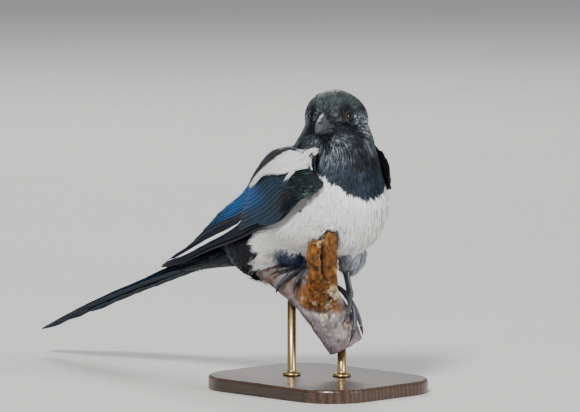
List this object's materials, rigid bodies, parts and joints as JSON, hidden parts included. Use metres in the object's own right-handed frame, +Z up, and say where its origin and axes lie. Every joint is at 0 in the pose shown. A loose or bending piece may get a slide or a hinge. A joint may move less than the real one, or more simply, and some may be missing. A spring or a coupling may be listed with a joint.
{
  "type": "eurasian magpie",
  "caption": "Life-size museum model of a perched magpie, head turned, long tail hanging back, on a cut branch over a flat display stand.",
  "frame": {"origin": "centre of the underside of the stand's base", "axes": "+X is the way the bird faces, its tail hanging back along -X; +Y is the bird's left; +Z is up"},
  "size_m": [0.371, 0.12, 0.2248],
  "materials": {
    "plumage_black": "black feather, satin gloss",
    "plumage_white": "white feather, soft",
    "flight_blue": "iridescent blue-black feather",
    "tail_green": "iridescent green-black feather",
    "bill": "black horn",
    "eye": "wet dark brown",
    "leg": "black scaled skin",
    "branch": "weathered bark and broken wood",
    "stand_wood": "dark satin varnish",
    "stand_metal": "satin"
  },
  "bodies": {
    "root": {"head": "plumage_black", "neck": "plumage_black", "torso": "plumage_white", "rump": "plumage_black", "bill_upper": "bill", "bill_lower": "bill", "tail": "tail_green", "wing_right": "flight_blue", "wing_left": "flight_blue", "eye_left": "eye", "thigh_left": "plumage_black", "shank_left": "leg", "foot_left": "leg", "claw_left_inner": "leg", "claw_left_middle": "leg", "claw_left_outer": "leg", "claw_left_hind": "leg", "eye_right": "eye", "thigh_right": "plumage_black", "shank_right": "leg", "foot_right": "leg", "claw_right_inner": "leg", "claw_right_middle": "leg", "claw_right_outer": "leg", "claw_right_hind": "leg", "perch": "branch", "stand_base": "stand_wood", "stand_rod_rear": "stand_metal", "stand_rod_front": "stand_metal"}
  },
  "joints": []
}
